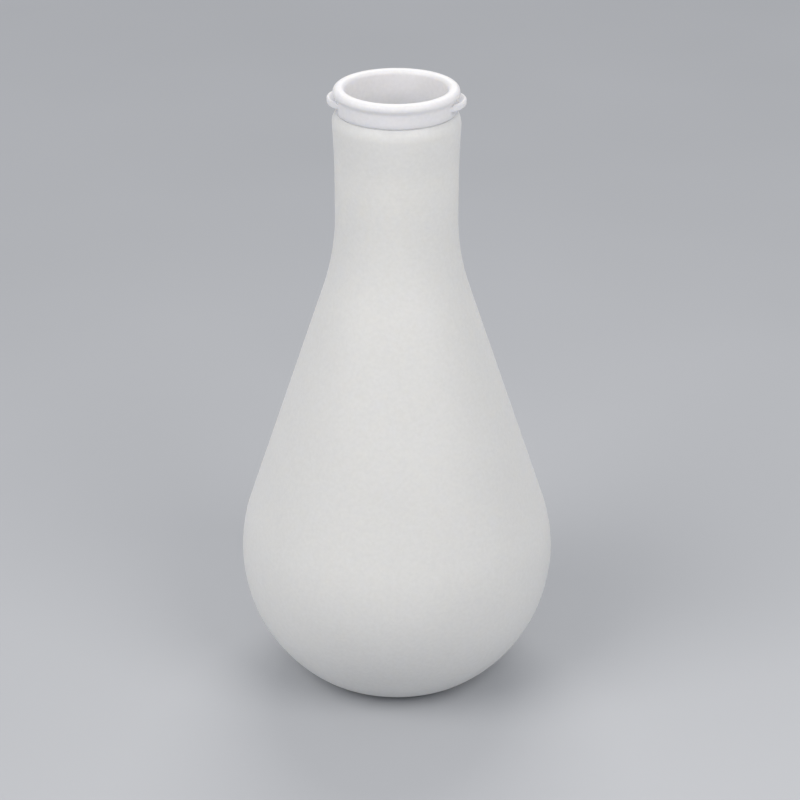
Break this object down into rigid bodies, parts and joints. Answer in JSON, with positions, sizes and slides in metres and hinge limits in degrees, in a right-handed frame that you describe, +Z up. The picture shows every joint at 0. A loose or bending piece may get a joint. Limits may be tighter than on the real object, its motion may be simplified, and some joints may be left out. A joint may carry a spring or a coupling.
{
  "type": "flask",
  "caption": "Pear-shaped wide-mouth plastic flask standing on a flat recessed base, with an eared mouth ring whose tapered sleeve plugs into the neck.",
  "frame": {"origin": "centre of the base, on the plane that the flask stands on", "axes": "+Z up the flask's axis towards the mouth, X through the two ears of the mouth ring"},
  "size_m": [0.077, 0.077, 0.1511],
  "materials": {
    "shell": "waxy matt natural white",
    "ring": "waxy satin white, a little brighter and cooler than the shell"
  },
  "bodies": {
    "flask": {"flask_body": "shell"},
    "ring": {"mouth_ring": "ring"}
  },
  "joints": [
    {"name": "mouth_ring_lift", "type": "slide", "parent": "flask", "child": "ring", "axis": [0, 0, 1], "range_m": [0, 0.018]}
  ]
}
